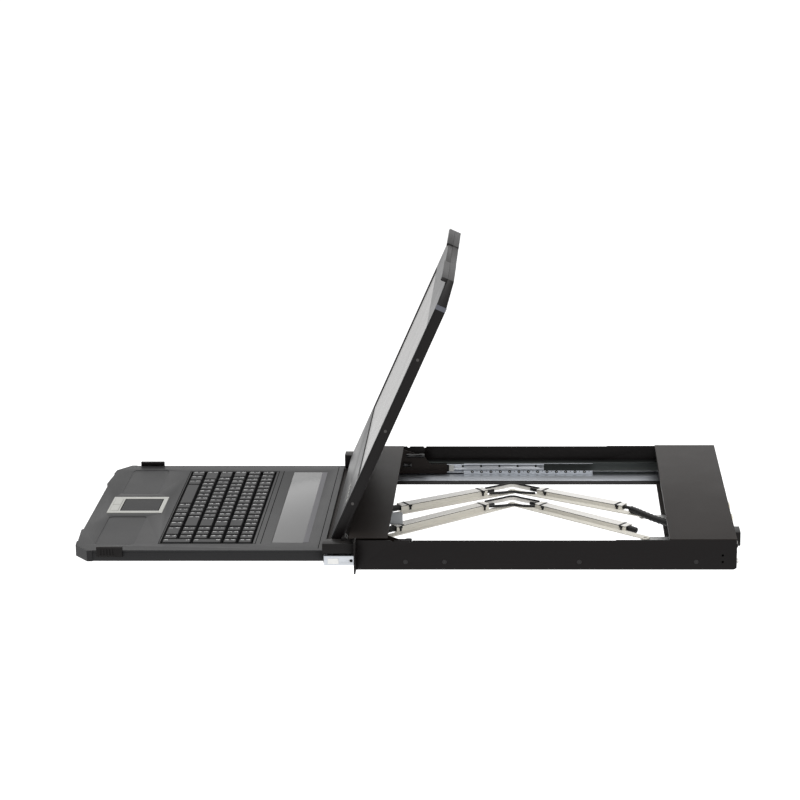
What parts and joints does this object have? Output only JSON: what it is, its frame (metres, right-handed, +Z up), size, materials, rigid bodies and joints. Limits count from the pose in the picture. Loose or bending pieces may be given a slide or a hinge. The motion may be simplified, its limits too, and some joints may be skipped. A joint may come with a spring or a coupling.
{
  "type": "kvm_console_drawer",
  "caption": "Rackmount console drawer, one unit high, pulled out on telescopic slides with its display raised over a full keyboard and touchpad, and folding cable arms behind.",
  "frame": {"origin": "middle of the four ear slots, on the rear face of the ears, where they meet the rack posts", "axes": "+X to the user's right, +Y towards the back of the rack, +Z up"},
  "size_m": [0.4826, 0.891, 0.3807],
  "materials": {
    "dark_steel": "semi-gloss powder coat",
    "zinc": "bright zinc plate, brushed",
    "zinc_bar": "bright zinc plate, brushed",
    "rear_metal": "satin grey powder coat",
    "tray_plastic": "fine-textured grey plastic",
    "black_plastic": "satin black plastic",
    "key_plastic": "satin black key caps",
    "bezel_plastic": "smooth light grey plastic",
    "panel_glass": "screen, switched off, pale with reflections",
    "window_gloss": "glossy grey plastic",
    "silver_plastic": "silver painted plastic",
    "pad_plastic": "fine matt touch surface",
    "cream_plastic": "cream cable duct plastic",
    "cable_rubber": "ribbed black cable jacket",
    "white_nylon": "white nylon",
    "bumper_rubber": "hard rubber",
    "board_green": "circuit board with parts",
    "port_metal": "plated connector shells",
    "screw_steel": "plated screws"
  },
  "bodies": {
    "housing": {"side_plate_right": "dark_steel", "side_plate_left": "dark_steel", "rack_ears": "dark_steel", "outer_rail_right": "zinc", "outer_rail_left": "zinc", "rear_cover": "rear_metal", "rear_panel": "rear_metal", "rear_floor": "rear_metal", "rear_arm_bracket": "zinc_bar", "main_board": "board_green", "rear_ports": "port_metal", "power_socket": "black_plastic", "switch_frame": "black_plastic", "housing_screws": "screw_steel", "rear_cables": "cable_rubber"},
    "drawer": {"inner_rails": "dark_steel", "rail_bumpers": "white_nylon", "tray_base": "tray_plastic", "tray_top": "tray_plastic", "keyboard_bed": "black_plastic", "corner_bumpers": "bumper_rubber", "window_panel": "window_gloss", "hinge_base": "rear_metal", "rear_deck": "rear_metal", "hinge_blocks": "black_plastic", "hinge_pins": "screw_steel", "front_arm_bracket": "zinc_bar", "touchpad_frame": "silver_plastic", "touchpad": "pad_plastic"},
    "display": {"lcd_back_cover": "black_plastic", "lcd_frame": "black_plastic", "lcd_bezel": "bezel_plastic", "lcd_panel": "panel_glass", "lcd_board": "board_green", "lcd_screws": "screw_steel"},
    "mid_rail_r": {"mid_rail_right": "zinc"},
    "mid_rail_l": {"mid_rail_left": "zinc"},
    "cage_r": {"ball_cage_right": "zinc"},
    "cage_l": {"ball_cage_left": "zinc"},
    "far_front": {"far_arm_front_link": "cream_plastic", "far_arm_front_cable": "cable_rubber"},
    "far_rear": {"far_arm_rear_link": "cream_plastic", "far_arm_rear_cable": "cable_rubber"},
    "near_front": {"near_arm_front_link": "cream_plastic", "near_arm_front_cable": "cable_rubber"},
    "near_rear": {"near_arm_rear_link": "cream_plastic", "near_arm_rear_cable": "cable_rubber"},
    "function_keys_body": {"function_keys": "key_plastic"},
    "number_keys_body": {"number_keys": "key_plastic"},
    "letter_keys_body": {"letter_keys": "key_plastic"},
    "space_bar_body": {"space_bar": "key_plastic"},
    "numpad_keys_body": {"numpad_keys": "key_plastic"},
    "pad_left": {"touchpad_button_left": "silver_plastic"},
    "pad_right": {"touchpad_button_right": "silver_plastic"},
    "menu_buttons": {"osd_buttons": "silver_plastic"},
    "catch_r": {"side_catch_right": "black_plastic"},
    "catch_l": {"side_catch_left": "black_plastic"},
    "rocker": {"power_switch": "black_plastic"}
  },
  "joints": [
    {"name": "drawer_slide", "type": "slide", "parent": "housing", "child": "drawer", "axis": [0, 1, 0], "range_m": [0, 0.345]},
    {"name": "mid_slide_r", "type": "slide", "parent": "housing", "child": "mid_rail_r", "axis": [0, 1, 0], "range_m": [0, 0.1725]},
    {"name": "cage_slide_r", "type": "slide", "parent": "housing", "child": "cage_r", "axis": [0, 1, 0], "range_m": [0, 0.08625]},
    {"name": "mid_slide_l", "type": "slide", "parent": "housing", "child": "mid_rail_l", "axis": [0, 1, 0], "range_m": [0, 0.1725]},
    {"name": "cage_slide_l", "type": "slide", "parent": "housing", "child": "cage_l", "axis": [0, 1, 0], "range_m": [0, 0.08625]},
    {"name": "display_hinge", "type": "hinge", "parent": "drawer", "child": "display", "pos_m": [0, -0.017, 0.01315], "axis": [1, 0, 0], "range_deg": [-6, 114.3]},
    {"name": "far_arm_front", "type": "hinge", "parent": "drawer", "child": "far_front", "pos_m": [0.046, 0.02, -0.00625], "axis": [0, 0, 1], "range_deg": [-1, 55.91]},
    {"name": "far_arm_rear", "type": "hinge", "parent": "far_front", "child": "far_rear", "pos_m": [-0.07, 0.2025, -0.00625], "axis": [0, 0, 1], "range_deg": [-110.82, 1]},
    {"name": "near_arm_front", "type": "hinge", "parent": "drawer", "child": "near_front", "pos_m": [0.106, 0.02, -0.01825], "axis": [0, 0, 1], "range_deg": [-1, 48.8]},
    {"name": "near_arm_rear", "type": "hinge", "parent": "near_front", "child": "near_rear", "pos_m": [-0.046, 0.2025, -0.01825], "axis": [0, 0, 1], "range_deg": [-96.59, 1]},
    {"name": "function_keys_press", "type": "slide", "parent": "drawer", "child": "function_keys_body", "axis": [0, 0, -1], "range_m": [0, 0.0025], "stiffness_N_per_m": 900, "springref_m": -0.001},
    {"name": "number_keys_press", "type": "slide", "parent": "drawer", "child": "number_keys_body", "axis": [0, 0, -1], "range_m": [0, 0.0025], "stiffness_N_per_m": 900, "springref_m": -0.001},
    {"name": "letter_keys_press", "type": "slide", "parent": "drawer", "child": "letter_keys_body", "axis": [0, 0, -1], "range_m": [0, 0.0025], "stiffness_N_per_m": 900, "springref_m": -0.001},
    {"name": "space_bar_press", "type": "slide", "parent": "drawer", "child": "space_bar_body", "axis": [0, 0, -1], "range_m": [0, 0.0025], "stiffness_N_per_m": 900, "springref_m": -0.001},
    {"name": "numpad_keys_press", "type": "slide", "parent": "drawer", "child": "numpad_keys_body", "axis": [0, 0, -1], "range_m": [0, 0.0025], "stiffness_N_per_m": 900, "springref_m": -0.001},
    {"name": "pad_left_press", "type": "slide", "parent": "drawer", "child": "pad_left", "axis": [0, 0, -1], "range_m": [0, 0.0008], "stiffness_N_per_m": 400, "springref_m": -0.001},
    {"name": "pad_right_press", "type": "slide", "parent": "drawer", "child": "pad_right", "axis": [0, 0, -1], "range_m": [0, 0.0008], "stiffness_N_per_m": 400, "springref_m": -0.001},
    {"name": "menu_press", "type": "slide", "parent": "display", "child": "menu_buttons", "axis": [0, 0.9114, -0.4115], "range_m": [0, 0.0008], "stiffness_N_per_m": 400, "springref_m": -0.001},
    {"name": "catch_pull_r", "type": "slide", "parent": "drawer", "child": "catch_r", "axis": [0, -1, 0], "range_m": [0, 0.004], "stiffness_N_per_m": 500, "springref_m": -0.001},
    {"name": "catch_pull_l", "type": "slide", "parent": "drawer", "child": "catch_l", "axis": [0, -1, 0], "range_m": [0, 0.004], "stiffness_N_per_m": 500, "springref_m": -0.001},
    {"name": "power_rocker", "type": "hinge", "parent": "housing", "child": "rocker", "pos_m": [0.187, 0.499, -0.00175], "axis": [1, 0, 0], "range_deg": [0, 10]}
  ],
  "couplings": [
    {"joint": "mid_slide_r", "follows": "drawer_slide", "ratio": 0.5},
    {"joint": "mid_slide_l", "follows": "drawer_slide", "ratio": 0.5},
    {"joint": "cage_slide_r", "follows": "drawer_slide", "ratio": 0.25},
    {"joint": "cage_slide_l", "follows": "drawer_slide", "ratio": 0.25},
    {"joint": "far_arm_front", "follows": "drawer_slide", "rad_per_m": 2.7778},
    {"joint": "far_arm_rear", "follows": "drawer_slide", "rad_per_m": -5.5556},
    {"joint": "near_arm_front", "follows": "drawer_slide", "rad_per_m": 2.418},
    {"joint": "near_arm_rear", "follows": "drawer_slide", "rad_per_m": -4.836}
  ]
}
